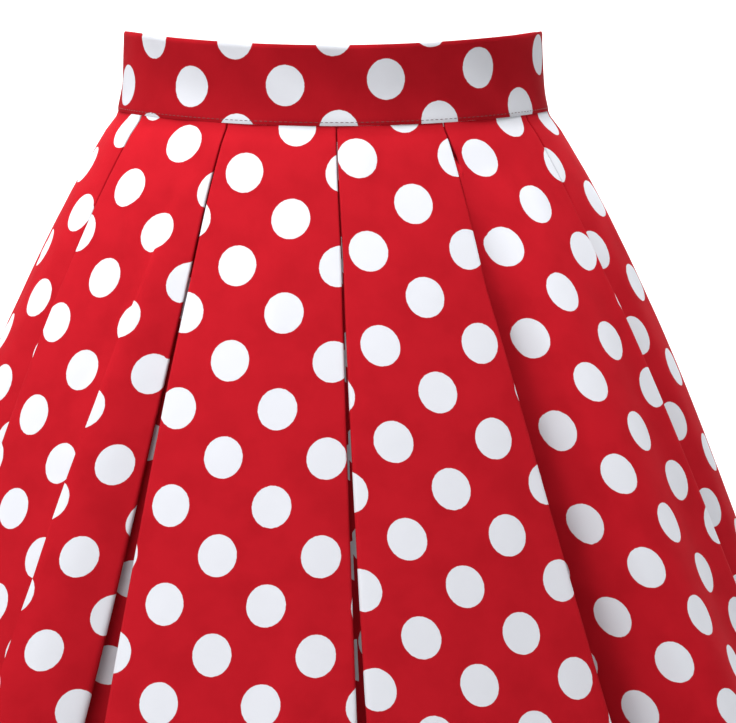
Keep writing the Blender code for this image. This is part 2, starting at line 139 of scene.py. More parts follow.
# Creases in a face, from one place to another. Across is a share of the face's width,
# and rise is outwards.
Crease = namedtuple("Crease", "face across drop end_across end_drop width rise")
CREASES = (
    Crease(3, 0.30, 0.02, 0.52, 0.10, 0.006, 0.0012),
    Crease(3, 0.70, 0.04, 0.45, 0.20, 0.010, -0.0016),
    Crease(4, 0.25, 0.01, 0.36, 0.07, 0.006, -0.0007),
    Crease(4, 0.62, 0.05, 0.55, 0.16, 0.010, 0.0008),
    Crease(4, 0.20, 0.22, 0.34, 0.40, 0.014, -0.0012),
    Crease(4, 0.75, 0.30, 0.62, 0.52, 0.016, 0.0013),
    Crease(5, 0.35, 0.01, 0.28, 0.06, 0.006, -0.0007),
    Crease(5, 0.70, 0.02, 0.62, 0.13, 0.009, 0.0008),
    Crease(5, 0.30, 0.20, 0.45, 0.42, 0.015, 0.0013),
    Crease(5, 0.72, 0.26, 0.66, 0.50, 0.014, -0.0012),
    Crease(6, 0.55, 0.01, 0.48, 0.08, 0.006, -0.0008),
    Crease(6, 0.75, 0.06, 0.66, 0.24, 0.011, 0.0012),
    Crease(6, 0.60, 0.28, 0.72, 0.50, 0.014, -0.0014),
    Crease(2, 0.35, 0.02, 0.50, 0.14, 0.008, -0.0010),
    Crease(2, 0.65, 0.12, 0.55, 0.40, 0.013, 0.0014),
    Crease(7, 0.40, 0.02, 0.52, 0.15, 0.008, 0.0010),
    Crease(7, 0.62, 0.16, 0.50, 0.44, 0.013, -0.0014),
    Crease(8, 0.30, 0.03, 0.42, 0.18, 0.009, -0.0010),
    Crease(8, 0.66, 0.14, 0.58, 0.38, 0.014, 0.0013),
    Crease(9, 0.45, 0.02, 0.36, 0.12, 0.008, 0.0009),
    Crease(9, 0.60, 0.20, 0.70, 0.46, 0.014, -0.0013),
    Crease(0, 0.40, 0.03, 0.52, 0.16, 0.009, 0.0009),
    Crease(0, 0.68, 0.18, 0.60, 0.42, 0.014, -0.0012),
    Crease(1, 0.55, 0.02, 0.46, 0.14, 0.008, -0.0010),
    Crease(1, 0.30, 0.20, 0.40, 0.44, 0.014, 0.0013),
)
CREASE_BLEND = 0.5
CREASE_TAPER = 0.8

# Puckers under the waist seam. Spacing is along the seam, and shift is for each face in turn.
Pucker = namedtuple("Pucker", "spacing shift share")
PUCKERS = (Pucker(0.0105, 1.7, 1.0), Pucker(0.0061, 2.9, 0.6))
PUCKER_DEPTH = 0.00022
PUCKER_DROP = 0.013

# The cloth's slight unevenness: two crossing waves multiplied
Wave = namedtuple("Wave", "across down shift")
WAVES = (Wave(0.017, 0.045, 2.1), Wave(0.031, -0.071, 1.0))
WAVE_DEPTH = 0.0006
WAVE_WAIST = 0.3

# Wrinkles of the waistband, each a wave across it times a slower one that groups them
Wrinkle = namedtuple("Wrinkle", "depth spacing slant group group_slant group_shift")
WRINKLES = (
    Wrinkle(0.00085, 0.0125, -3.4, 0.043, 1.5, 1.3),
    Wrinkle(0.00032, 0.0064, -5.0, 0.026, 0.0, 0.8),
)
WRINKLE_TAPER = 0.7
WRINKLE_INSIDE = 0.5

# The waistband: its length round, how far its middle sinks in, and how its edges round off
BAND_ROUND = 0.73
BAND_SAG = 0.0013
BAND_EDGE_ROUND = 0.0011
BAND_EDGE_SHARE = 0.35

# The print: oval spots in a half-drop repeat, and where it falls on each face and band piece
SPOT_WIDTH = 0.0234
SPOT_HEIGHT = 0.0254
REPEAT_ACROSS = 0.0615
REPEAT_DOWN = 0.0588
Print = namedtuple("Print", "across down turn_deg")
FACE_PRINTS = (
    Print(0.012, 0.020, 0.6),
    Print(0.031, 0.006, -0.8),
    Print(0.004, 0.041, 0.4),
    Print(0.041, 0.047, -5.0),
    Print(0.042, 0.031, -1.5),
    Print(0.038, 0.022, 2.0),
    Print(0.015, 0.057, 8.5),
    Print(0.018, 0.036, 1.0),
    Print(0.022, 0.013, 0.5),
    Print(0.045, 0.030, -0.6),
    Print(0.010, 0.047, 0.3),
)
BAND_PRINT_FRONT = Print(0.001, 0.053, -3.5)
BAND_PRINT_BACK = Print(0.013, 0.008, 0.0)

# Laying the cloth flat for its print. Each face starts as a fan about a point this far above it.
FAN_APEX = 1.05
FLAT_ROUNDS = 500
FLAT_RATE = 1.9
FLAT_LEAST = 1e-6

# Fineness of the cloth and the stitches
SKIRT_ROWS = 92
ROW_POWER = 1.15
CORNER_POINTS = (4, 4, 6, 6)
FACE_STEPS = 40
BAND_ROWS = 30
BAND_STEPS = 300
ARC_SAMPLES = 2881
SHARP_DEG = 60.0
PATH_STEP = 0.002
ROUND_SUBDIVISIONS = 2

# Sewing
STITCH_DIMPLE = 0.0003
STITCH_DIMPLE_WIDTH = 0.0009
SEAM_STITCH_ABOVE = 0.0022
HEM_STITCH_ABOVE = 0.0180
HEM_TURN = 0.0200
HEM_LAYER = 0.0006
STITCH_PITCH = 0.0031
STITCH_LENGTH = 0.0024
STITCH_THICK = 0.00042
STITCH_SUNK = 0.00022

# Zip at the centre back: its slit between the back pieces, and its coil. The tapes, the slider
# and the pull tab come with the frame.
ZIP_LENGTH = 0.215
SLIT_CLOSED = 0.00025
SLIT_AT_SLIDER = 0.00072
SLIDER_REACH = 0.006
HINGE_BELOW_EDGE = 0.0070
COIL_INWARD = 0.0030
COIL_PITCH = 0.0012
COIL_WIDTH = 0.0042
COIL_WIRE = 0.0009
COIL_THICK = 0.0014
COIL_BELOW_SLIDER = 0.007

# Colours of the finishes
RED = (0.44, 0.0062, 0.0140, 1.0)
DEEP_RED = (0.395, 0.0048, 0.0115, 1.0)
BRIGHT_RED = (0.48, 0.0100, 0.0190, 1.0)
# The band's reds are the skirt's cloth made darker as painted shade, for the band's upright front that
# gets less of the overhead light
BAND_PAINTED_SHADE_RED = (0.385, 0.0052, 0.0118, 1.0)
BAND_PAINTED_SHADE_DEEP_RED = (0.345, 0.0042, 0.0098, 1.0)
WHITE = (0.680, 0.692, 0.740, 1.0)
REVERSE_RED = (0.36, 0.030, 0.040, 1.0)
REVERSE_WHITE = (0.70, 0.66, 0.67, 1.0)
THREAD_DARK = (0.050, 0.006, 0.010, 1.0)
THREAD_LIGHT = (0.110, 0.012, 0.018, 1.0)
TAPE_DARK = (0.36, 0.008, 0.018, 1.0)
TAPE_LIGHT = (0.50, 0.014, 0.028, 1.0)
ENAMEL = (0.46, 0.010, 0.020, 1.0)
ENAMEL_WORN = (0.62, 0.05, 0.06, 1.0)

# The cloth's weave and ink. Noise scales are for each metre of cloth, a range is the levels of
# noise between which a second colour sets in, and a bump is how strongly each surface is raised.
WARP_PITCH = 0.00042
WEFT_PITCH = 0.00046
SLUBS = (2200.0, 160.0, 1.0)
INK_WOBBLE = 0.0005
INK_WOBBLE_SCALE = 420.0
INK_EDGE = 0.008
INK_EDGE_REVERSE = 0.02
MOTTLE_SCALE = 38.0
MOTTLE_RANGE = (0.35, 0.70)
WORN_RANGE = (0.42, 0.72)
WORN_SHARE = 0.10
CLOTH_ROUGHNESS = 0.82
SLUB_ROUGHNESS = 0.10
CRUMPLE_SCALE = 90.0
WEAVE_LEVEL = 0.30
SLUB_LEVEL = 0.8
CRUMPLE_LEVEL = 1.5
CLOTH_BUMP = 0.32
CLOTH_BUMP_DEPTH = 0.00022

# Thread, the tape's ribs, and the enamel of the slider and pull
TWIST_SCALE = 2400.0
RIB_PITCH = 0.0011
RIB_DROP = 0.0008
RIB_SLANT = 4200.0
THREAD_BUMP = 0.5
SCUFF_SCALE = 900.0
SCUFF_RANGE = (0.55, 0.75)
ENAMEL_ROUGHNESS = 0.25
SCUFF_ROUGHNESS = 0.2
ENAMEL_BUMP = 0.1
FINE_BUMP_DEPTH = 0.0001

# Camera, floor and light
FRAME_WIDTH_PIXELS = 736
SENSOR_MM = 36.0
CAMERA_PLACE = (0.022, -2.08, 0.033)
CAMERA_PITCH_DEG = 5.978
CAMERA_FOCAL_PIXELS = 3276.0
CAMERA_SEES_TO = 100.0
FLOOR = -0.95
SWEEP_REACH = 16.0
SWEEP_BACK = 6.5
SWEEP_CURVE = 1.5
SWEEP_TOP = 6.0
SWEEP_STEPS = 13
PAPER = (0.84, 0.84, 0.84, 1.0)
WORLD_LIGHT = 0.33
MIDDLE = (0.0, 0.0, -0.2)
Lamp = namedtuple("Lamp", "name place aim size power")
LAMPS = (
    Lamp("key", (-0.10, -0.10, 1.50), MIDDLE, 0.7, 50.0),
    Lamp("key_left", (-0.45, -0.45, 1.25), MIDDLE, 0.8, 6.0),
    Lamp("left", (-1.5, -0.8, 1.2), MIDDLE, 1.0, 18.0),
    Lamp("right", (1.8, -1.6, 0.8), MIDDLE, 1.2, 5.0),
    Lamp("back", (0.3, 2.0, 1.6), MIDDLE, 1.6, 36.0),
    Lamp("backdrop", (0.0, 3.2, 3.5), (0.0, 6.5, -0.4), 3.0, 330.0),
)


def ease(x):
    x = np.clip(x, 0.0, 1.0)
    return x * x * (3.0 - 2.0 * x)


def mix(start, end, share):
    return start + (end - start) * share


def through(xs, ys, x):
    """A smooth curve through a few rising rows, read at x. It never swings past a row."""
    runs = np.diff(ys) / np.diff(xs)
    slopes = np.concatenate([runs[:1], 2 * runs[1:] * runs[:-1] / (runs[1:] + runs[:-1]), runs[-1:]])
    i = int(np.clip(np.searchsorted(xs, x) - 1, 0, len(xs) - 2))
    width = xs[i + 1] - xs[i]
    t = (x - xs[i]) / width
    start = (2 * t**3 - 3 * t**2 + 1) * ys[i] + (t**3 - 2 * t**2 + t) * width * slopes[i]
    end = (3 * t**2 - 2 * t**3) * ys[i + 1] + (t**3 - t**2) * width * slopes[i + 1]
    return start + end


def height(drop, facing):
    """World height. Facing is -1 at the centre back, 0 at the sides and 1 at the centre front."""
    front = facing > 0.0
    top = BAND_HEIGHT / 2 - np.where(front, TOP_DIP_FRONT, TOP_DIP_BACK) * facing**2
    seam = -BAND_HEIGHT / 2 - np.where(front, SEAM_DIP_FRONT, SEAM_DIP_BACK) * facing**2
    if drop <= 0.0:
        return mix(seam, top, -drop / BAND_HEIGHT)
    return mix(seam, -BAND_HEIGHT / 2 - SKIRT_DROP, drop / SKIRT_DROP)


class Section:
    """One ring of the form. It turns shares of the way round, and depths inwards, into points."""

    def __init__(self, drop):
        drops = [ring.drop for ring in FORM]
        self.drop = drop
        self.a = through(drops, [ring.half_width for ring in FORM], drop)
        self.b = through(drops, [ring.half_depth for ring in FORM], drop)
        self.angles = np.linspace(-math.pi, math.pi, ARC_SAMPLES)
        x, y = self.a * np.sin(self.angles), -self.b * np.cos(self.angles)
        run = np.concatenate([[0.0], np.cumsum(np.hypot(np.diff(x), np.diff(y)))])
        self.length = run[-1]
        self.shares = run / self.length - HALF_TURN

    def points(self, shares, inward):
        shares = np.asarray(shares)
        whole = np.floor(shares + HALF_TURN)
        angle = np.interp(shares - whole, self.shares, self.angles)
        nx, ny = np.sin(angle) / self.a, -np.cos(angle) / self.b
        scale = inward / np.hypot(nx, ny)
        x, y = self.a * np.sin(angle) - nx * scale, -self.b * np.cos(angle) - ny * scale
        return np.stack([x, y, height(self.drop, np.cos(angle))], axis=-1)


def place_of(pleat, drop):
    if drop < HIP_DROP:
        return mix(pleat.waist, pleat.hip, ease(drop / HIP_DROP))
    return mix(pleat.hip, pleat.hem, (drop - HIP_DROP) / (SKIRT_DROP - HIP_DROP))


def rounded(corners, radius):
    """A path from corners[0] that rounds off each corner after it, except the last."""
    points = [corners[0]]
    for i, count in enumerate(CORNER_POINTS, start=1):
        corner = np.array(corners[i])
        before, after = np.array(corners[i - 1]) - corner, np.array(corners[i + 1]) - corner
        runs = np.linalg.norm(before), np.linalg.norm(after)
        room = [FIRST_BEND_SHARE * runs[0] if i == 1 else (runs[0] - NOSE_KEEP) / 2]
        room.append((runs[1] - NOSE_KEEP) / 2)
        reach = min([radius, *room])
        start, end = corner + before / runs[0] * reach, corner + after / runs[1] * reach
        for step in range(count):
            t = step / (count - 1)
            points.append(tuple(mix(mix(start, corner, t), mix(corner, end, t), t)))
    return points


def tuck_growth(down):
    """How much of its tuck at the hem a face has, from none at the waist seam."""
    return down**TUCK_POWER * ease(down / TUCKED_BY)


def pleat_half(pleat, drop, side_of_roll, tuck_hem):
    """Half of an inverted pleat, from its middle out to the face, as along and inward columns.

    Inward is measured from the face beside it. Beside a roll that leans, the folds open to nothing."""
    down = drop / SKIRT_DROP
    gap = mix(GAP_WAIST, pleat.gap_hem, down**GAP_POWER)
    lap = mix(pleat.lap_waist, pleat.lap_hem, ease(down**LAP_POWER))
    depth = mix(2 * LAYER_STEP, pleat.depth_hem, down**DEPTH_POWER)
    rolls = side_of_roll and pleat.lean > 0.0
    opened = ease((down - OPEN_FROM) / (OPEN_BY - OPEN_FROM)) if rolls else 0.0
    if opened == 0.0:
        depth -= tuck_hem * tuck_growth(down)
    fold = depth * mix(FOLD_WAIST, FOLD_HEM, ease(FOLD_SETTLES * down))
    edge = gap / 2
    back = edge + lap
    radius = mix(LAYER_STEP / 2, CURVE_HEM, down)
    corners = [(0.0, depth), (back, depth), (back, depth - fold), (edge, fold), (edge, 0.0)]
    face_start = edge + FACE_START * radius
    corners.append((face_start, 0.0))
    half = np.array(rounded(corners, radius))
    plain = np.linspace(0.0, face_start, len(half))
    return np.stack([mix(half[:, 0], plain, opened), half[:, 1] * (1.0 - opened)], axis=1)


def tucked(along, tuck_hem, reach_hem, drop):
    """How far a face lies inwards, this far along from the middle of its pleat."""
    down = drop / SKIRT_DROP
    reach = mix(TUCK_REACH_WAIST, reach_hem, down)
    return tuck_hem * tuck_growth(down) * (1.0 - ease(along / reach))


def leaning(along, pleat, width, drop):
    """How far a roll's crest leans back over its pleat. The rest of the face makes up for it."""
    down = drop / SKIRT_DROP
    reach = mix(TUCK_REACH_WAIST, pleat.reach, down)
    crest = pleat.lean * pleat.tuck_after * tuck_growth(down)
    return crest * ease(along / reach) * (1.0 - ease((along - reach) / (width - reach)))


def face_shape(face, share, width, drop):
    """How far inwards and along a face is moved from the form, at these shares of its width."""
    first, last = PLEATS[face], PLEATS[(face + 1) % len(PLEATS)]
    along = share * width
    inward = tucked(along, first.tuck_after, first.reach, drop)
    swung = np.zeros_like(share)
    for fold in SOFT_FOLDS:
        if fold.face != face or drop <= fold.start:
            continue
        grown = (drop - fold.start) / (SKIRT_DROP - fold.start)
        place = mix(fold.place_waist, fold.place_hem, drop / SKIRT_DROP)
        spread = fold.width_hem * mix(FOLD_WIDTH_START, 1.0, grown) / width
        held = np.sin(math.pi * share)
        level = np.exp(-(((share - place) / spread) ** 2)) * held * (2.0 - held)
        rise = fold.rise * grown**FOLD_GROWTH * level
        inward = inward - rise
        swung = swung + fold.lean * rise
    inward = inward + tucked(width - along - swung, last.tuck_before, last.reach, drop)
    slide = swung - leaning(along, first, width, drop)
    return inward + crease_depth(face, share, width, drop), slide


def crease_depth(face, share, width, drop):
    """Creases, the puckers under the waist seam, and the cloth's slight unevenness."""
    moved = np.zeros_like(share)
    for crease in CREASES:
        if crease.face != face:
            continue
        along = (drop - crease.drop) / (crease.end_drop - crease.drop)
        if not 0.0 < along < 1.0:
            continue
        centre = mix(crease.across, crease.end_across, mix(along, ease(along), CREASE_BLEND))
        away = (share - centre) * width / crease.width
        moved -= crease.rise * math.sin(math.pi * along) ** CREASE_TAPER * np.exp(-(away**2))
    run = share * width
    for pucker in PUCKERS:
        level = pucker.share * np.sin(run / pucker.spacing + face * pucker.shift)
        moved += PUCKER_DEPTH * level * math.exp(-drop / PUCKER_DROP)
    uneven = WAVE_DEPTH * mix(WAVE_WAIST, 1.0, drop / SKIRT_DROP)
    uneven = uneven * np.sin(math.pi * np.clip(share, 0.0, 1.0))
    for wave in WAVES:
        uneven = uneven * np.sin(run / wave.across + drop / wave.down + face * wave.shift)
    return moved + uneven


def seam_gap(share, drop):
    """Half the gap at a seam. The slit for the zip opens a little round the slider's neck, and
    below the zip it is sewn shut."""
    if share != HALF_TURN:
        return SEAM_SHUT
    below = drop + BAND_HEIGHT - HINGE_BELOW_EDGE
    slit = mix(SLIT_CLOSED, SLIT_AT_SLIDER, math.exp(-((below / SLIDER_REACH) ** 4)))
    past_zip = drop + BAND_HEIGHT - ZIP_LENGTH
    return mix(slit, SEAM_SHUT, ease(past_zip / SHUT_WITHIN + 1.0))


Span = namedtuple("Span", "first last face offsets")


def skirt_row(drop, start, end):
    """Shares, inward depths and the spans of columns in one ring, from one seam to the next.

    A span's offsets are how far its columns lie along from the middle line of its face."""
    ring = Section(drop)
    stops = [(start, None)]
    for lap in (0, 1):
        for i, pleat in enumerate(PLEATS):
            share = place_of(pleat, drop) + lap
            if start < share < end:
                stops.append((share, i))
    stops.append((end, None))
    shares, depths, spans = np.empty(0), np.empty(0), []
    for (left, left_pleat), (right, right_pleat) in zip(stops, stops[1:]):
        face = (right_pleat - 1) % len(PLEATS) if left_pleat is None else left_pleat
        before, after = PLEATS[face], PLEATS[(face + 1) % len(PLEATS)]
        face_start = place_of(before, drop)
        width = ((place_of(after, drop) - face_start) % 1.0) * ring.length
        begin = ((left - face_start) % 1.0) * ring.length + seam_gap(start, drop)
        until = ((right - face_start) % 1.0) * ring.length - seam_gap(end, drop)
        steps = FACE_STEPS // 2 if None in (left_pleat, right_pleat) else FACE_STEPS
        first_half = last_half = np.empty((0, 2))
        if left_pleat is not None:
            first_half = pleat_half(before, drop, True, before.tuck_after)[1:]
            begin = first_half[-1, 0]
        if right_pleat is not None:
            last_half = pleat_half(after, drop, False, after.tuck_before)[::-1]
            until = width - last_half[0, 0]
        inner = np.arange(left_pleat is not None, steps + (right_pleat is None)) / steps
        flat = mix(begin, until, inner)
        along = np.concatenate([first_half[:, 0], flat, width - last_half[:, 0]])
        inward = np.concatenate([first_half[:, 1], np.zeros_like(flat), last_half[:, 1]])
        depth, slide = face_shape(face, along / width, width, drop)
        first_column = len(shares) - (left_pleat is not None)
        lap = math.floor(left - face_start + SAME_PLACE)
        shares = np.append(shares, face_start + lap + (along + slide) / ring.length)
        depths = np.append(depths, depth + inward)
        offsets = along - width / 2
        if left_pleat is not None:
            offsets = np.append(-width / 2, offsets)
        spans.append(Span(first_column, len(shares) - 1, face, offsets))
    depths[[0, -1]] += SEAM_SUNK * ease(drop / SHUT_WITHIN)
    return ring, shares, depths, spans


def face_slants():
    """How far down the cloth each row is, on the middle line of each face."""
    slants = np.zeros((len(PLEATS), SKIRT_ROWS + 1))
    before = None
    for r, drop in enumerate(row_drops()):
        ring = Section(drop)
        places = [place_of(pleat, drop) for pleat in PLEATS]
        middles = [a + ((b - a) % 1.0) / 2 for a, b in zip(places, places[1:] + places[:1])]
        points = ring.points(middles, 0.0)
        if before is not None:
            slants[:, r] = slants[:, r - 1] + np.linalg.norm(points - before, axis=1)
        before = points
    return slants


def row_drops():
    return SKIRT_DROP * np.linspace(0.0, 1.0, SKIRT_ROWS + 1) ** ROW_POWER


def printed(across, down, where):
    """Turns a place on the flat cloth into a place in the print."""
    turn = math.radians(where.turn_deg)
    u = across * math.cos(turn) + down * math.sin(turn) - where.across
    v = down * math.cos(turn) - across * math.sin(turn) - where.down
    return np.stack([u, v], axis=-1)


def skirt_cloth(start, end):
    """Middle points of a skirt piece, and for each span of columns its place in the print."""
    slants = face_slants()
    points, prints = [], []
    for r, drop in enumerate(row_drops()):
        ring, shares, depths, spans = skirt_row(drop, start, end)
        row = ring.points(shares, depths)
        row[:, 2] -= SEAM_GAP / 2 * (1.0 - drop / SKIRT_DROP)
        runs = np.concatenate([[0.0], np.cumsum(np.hypot(*np.diff(row[:, :2], axis=0).T))])
        places = []
        for span in spans:
            nearest = int(np.argmin(np.abs(span.offsets)))
            centre = runs[span.first + nearest] - span.offsets[nearest]
            out = FAN_APEX + slants[span.face, r]
            turned = (runs[span.first:span.last + 1] - centre) / out
            places.append(np.stack([out * np.sin(turned), out * np.cos(turned) - FAN_APEX], axis=-1))
        points.append(row)
        prints.append(places)
    points = np.array(points)
    for s, span in enumerate(spans):
        rough = np.array([places[s] for places in prints])
        flat = laid_flat(rough, points[:, span.first:span.last + 1])
        for places, laid in zip(prints, flat):
            places[s] = printed(laid[:, 0], laid[:, 1], FACE_PRINTS[span.face])
    return points, prints, [(span.first, span.last) for span in spans]


def laid_flat(flat, points):
    """Moves a grid laid roughly flat until its steps across, down and slanting are as long as on
    the cloth."""
    rows, columns = flat.shape[:2]
    ties = []
    for dr, dc in ((0, 1), (1, 0), (1, 1), (1, -1)):
        one = (slice(0, rows - dr), slice(max(0, -dc), columns - max(0, dc)))
        two = (slice(dr, rows), slice(max(0, dc), columns + min(0, dc)))
        ties.append((one, two, np.linalg.norm(points[two] - points[one], axis=2)))
    shared = np.zeros((rows, columns))
    for one, two, _ in ties:
        shared[one] += 1.0
        shared[two] += 1.0
    for _ in range(FLAT_ROUNDS):
        moved = np.zeros_like(flat)
        for one, two, length in ties:
            step = flat[two] - flat[one]
            now = np.maximum(np.linalg.norm(step, axis=2), FLAT_LEAST)
            pull = step * (0.5 * (now - length) / now)[:, :, None]
            moved[one] += pull
            moved[two] -= pull
        flat = flat + FLAT_RATE * moved / shared[:, :, None]
    return flat


def facing_out(points):
    """Unit normals of a grid of points, away from the inside of the garment."""
    across = np.gradient(points, axis=1)
    down = np.gradient(points, axis=0)
    out = np.cross(down, across)
    return out / np.linalg.norm(out, axis=2)[:, :, None]


def sewn_wall(name, outer, inner, prints, spans, materials, turned_rows=0):
    """A closed wall of cloth. Its outside has the first material, and its inside the second, apart
    from the last rows, which are turned up."""
    rows, columns = outer.shape[:2]
    points = np.concatenate([outer.reshape(-1, 3), inner.reshape(-1, 3)])
    behind = rows * columns
    faces, places, kinds = [], [], []

    def add(face, place, kind):
        faces.append(face)
        places.extend(place)
        kinds.append(kind)

    for s, (first, last) in enumerate(spans):
        for r in range(rows - 1):
            upper, lower = prints[r][s], prints[r + 1][s]
            inside = 0 if r >= rows - 1 - turned_rows else 1
            for c in range(first, last):
                a = r * columns + c
                b, d, e = a + 1, a + columns, a + columns + 1
                ua, ub = upper[c - first], upper[c - first + 1]
                ud, ue = lower[c - first], lower[c - first + 1]
                add((a, d, e, b), (ua, ud, ue, ub), 0)
                add((behind + a, behind + b, behind + e, behind + d), (ua, ub, ue, ud), inside)
        for r, flip in ((0, False), (rows - 1, True)):
            for c in range(first, last):
                a, b = r * columns + c, r * columns + c + 1
                ua, ub = prints[r][s][c - first], prints[r][s][c - first + 1]
                face, place = (a, b, behind + b, behind + a), (ua, ub, ub, ua)
                add(face[::-1] if flip else face, place[::-1] if flip else place, 0)
    for r in range(rows - 1):
        for c, s, flip in ((0, 0, False), (columns - 1, len(spans) - 1, True)):
            a, d = r * columns + c, (r + 1) * columns + c
            ua, ud = prints[r][s][c - spans[s][0]], prints[r + 1][s][c - spans[s][0]]
            face, place = (d, a, behind + a, behind + d), (ud, ua, ua, ud)
            add(face[::-1] if flip else face, place[::-1] if flip else place, 0)
    mesh = bpy.data.meshes.new(name)
    mesh.from_pydata(points.tolist(), [], faces)
    layer = mesh.uv_layers.new(name="print")
    layer.data.foreach_set("uv", np.array(places, dtype=np.float32).ravel())
    for finish in materials:
        mesh.materials.append(finish)
    mesh.polygons.foreach_set("material_index", kinds)
    mesh.shade_smooth()
    mesh.set_sharp_from_angle(angle=math.radians(SHARP_DEG))
    made = bpy.data.objects.new(name, mesh)
    bpy.context.scene.collection.objects.link(made)
    return made


def add_node(tree, kind, settings=None, inputs=None):
    """Adds a node to a tree: its settings first, then the values or links of its sockets."""
    made = tree.nodes.new(kind)
    for setting, value in (settings or {}).items():
        setattr(made, setting, value)
    for socket, value in (inputs or {}).items():
        if isinstance(value, bpy.types.NodeSocket):
            tree.links.new(value, made.inputs[socket])
        else:
            made.inputs[socket].default_value = value
    return made


class Socket:
    """A shader socket that adds Math nodes when it is used in an expression."""

    def __init__(self, finish, socket):
        self.finish, self.socket = finish, socket

    def maths(self, operation, *others, swap=False):
        values = [self, *others]
        if swap:
            values.reverse()
        return self.finish.node("ShaderNodeMath", {"operation": operation}, dict(enumerate(values)))

    def __add__(self, other):
        return self.maths("ADD", other)

    def __radd__(self, other):
        return self.maths("ADD", other)

    def __sub__(self, other):
        return self.maths("SUBTRACT", other)

    def __rsub__(self, other):
        return self.maths("SUBTRACT", other, swap=True)

    def __mul__(self, other):
        return self.maths("MULTIPLY", other)

    def __rmul__(self, other):
        return self.maths("MULTIPLY", other)

    def __truediv__(self, other):
        return self.maths("DIVIDE", other)

    def fract(self):
        return self.maths("FRACT")

    def sine(self):
        return self.maths("SINE")

    def root(self):
        return self.maths("SQRT")

    def least(self, other):
        return self.maths("MINIMUM", other)


class Finish:
    """A material with one Principled shader, and the methods that build its nodes."""

    def __init__(self, name, **constants):
        self.material = bpy.data.materials.new(name)
        self.material.use_nodes = True
        self.tree = self.material.node_tree
        self.shader = self.tree.nodes["Principled BSDF"]
        for socket, value in constants.items():
            self.shader.inputs[socket.replace("_", " ")].default_value = value

    def node(self, kind, settings=None, inputs=None, output=0):
        given = {
            socket: value.socket if isinstance(value, Socket) else value
            for socket, value in (inputs or {}).items()
        }
        made = add_node(self.tree, kind, settings, given)
        return Socket(self, made.outputs[output])

    def axes(self, place):
        """The parts of a vector."""
        parts = self.node("ShaderNodeSeparateXYZ", {}, {0: place}).socket.node
        return [Socket(self, output) for output in parts.outputs]

    def drive(self, **sockets):
        """Links these to the shader's sockets, and gives the material."""
        for socket, value in sockets.items():
            self.tree.links.new(value.socket, self.shader.inputs[socket.replace("_", " ")])
        return self.material

    def blend(self, share, first, second):
        """Mixes two colours. The node has sockets for each kind of value, and these are a colour's."""
        inputs = {0: share, 6: first, 7: second}
        return self.node("ShaderNodeMix", {"data_type": "RGBA"}, inputs, output=2)

    def bump(self, level, strength, distance):
        inputs = {"Height": level, "Strength": strength, "Distance": distance}
        return self.node("ShaderNodeBump", {}, inputs)

    def noise(self, place, scale, detail=2.0, roughness=0.5):
        inputs = {"Vector": place, "Scale": scale, "Detail": detail, "Roughness": roughness}
        return self.node("ShaderNodeTexNoise", {}, inputs)

    def ramp(self, share, low, high):
        settings = {"interpolation_type": "SMOOTHSTEP"}
        return self.node("ShaderNodeMapRange", settings, {0: share, 1: low, 2: high})


def printed_cotton(name, ground, ground_deep, spot, ink_edge):
    """Plain-woven cotton with printed spots, in the cloth's own print coordinates."""
    finish = Finish(name, Roughness=0.86, Specular_IOR_Level=0.08)
    uv = finish.node("ShaderNodeUVMap", {"uv_map": "print"})
    u, v, _ = finish.axes(uv)
    wobble = (finish.noise(uv, INK_WOBBLE_SCALE, 1.0) - 0.5) * INK_WOBBLE
    away = None
    for shift in (0.0, 0.5):
        du = ((u / REPEAT_ACROSS + 0.5 + shift).fract() - 0.5) * (REPEAT_ACROSS / SPOT_WIDTH)
        dv = ((v / REPEAT_DOWN + 0.5 + shift).fract() - 0.5) * (REPEAT_DOWN / SPOT_HEIGHT)
        reach = (du * du + dv * dv).root()
        away = reach if away is None else away.least(reach)
    spots = 1.0 - finish.ramp(away + wobble / SPOT_WIDTH, 0.5 - ink_edge, 0.5 + ink_edge)
    mottle = finish.noise(uv, MOTTLE_SCALE, 3.0)
    red = finish.blend(finish.ramp(mottle, *MOTTLE_RANGE), ground, ground_deep)
    weave = (u * (2 * math.pi / WARP_PITCH)).sine() * (v * (2 * math.pi / WEFT_PITCH)).sine()
    stretched = finish.node("ShaderNodeVectorMath", {"operation": "MULTIPLY"}, {0: uv, 1: SLUBS})
    slub = finish.noise(stretched, 1.0)
    worn = finish.ramp(slub, *WORN_RANGE) * WORN_SHARE
    red = finish.blend(worn, red, BRIGHT_RED)
    colour = finish.blend(spots, red, spot)
    crumple = finish.noise(uv, CRUMPLE_SCALE, 3.0)
    level = weave * WEAVE_LEVEL + slub * SLUB_LEVEL + crumple * CRUMPLE_LEVEL
    return finish.drive(
        Base_Color=colour,
        Roughness=CLOTH_ROUGHNESS + slub * SLUB_ROUGHNESS,
        Normal=finish.bump(level, CLOTH_BUMP, CLOTH_BUMP_DEPTH),
    )


def thread():
    finish = Finish("sewing_thread", Roughness=0.55, Sheen_Weight=0.2)
    place = finish.node("ShaderNodeTexCoord", output="Object")
    twist = finish.noise(place, TWIST_SCALE, 1.0)
    colour = finish.blend(twist, THREAD_DARK, THREAD_LIGHT)
    return finish.drive(Base_Color=colour, Normal=finish.bump(twist, THREAD_BUMP, FINE_BUMP_DEPTH))


def woven_tape():
    finish = Finish("zip_tape_weave", Roughness=0.7, Sheen_Weight=0.15)
    place = finish.node("ShaderNodeTexCoord", output="Object")
    x, _, z = finish.axes(place)
    across = (x * (2 * math.pi / RIB_PITCH)).sine()
    ribs = across * (z * (2 * math.pi / RIB_DROP) + x * RIB_SLANT).sine()
    colour = finish.blend(ribs * 0.5 + 0.5, TAPE_DARK, TAPE_LIGHT)
    return finish.drive(Base_Color=colour, Normal=finish.bump(ribs, THREAD_BUMP, FINE_BUMP_DEPTH))


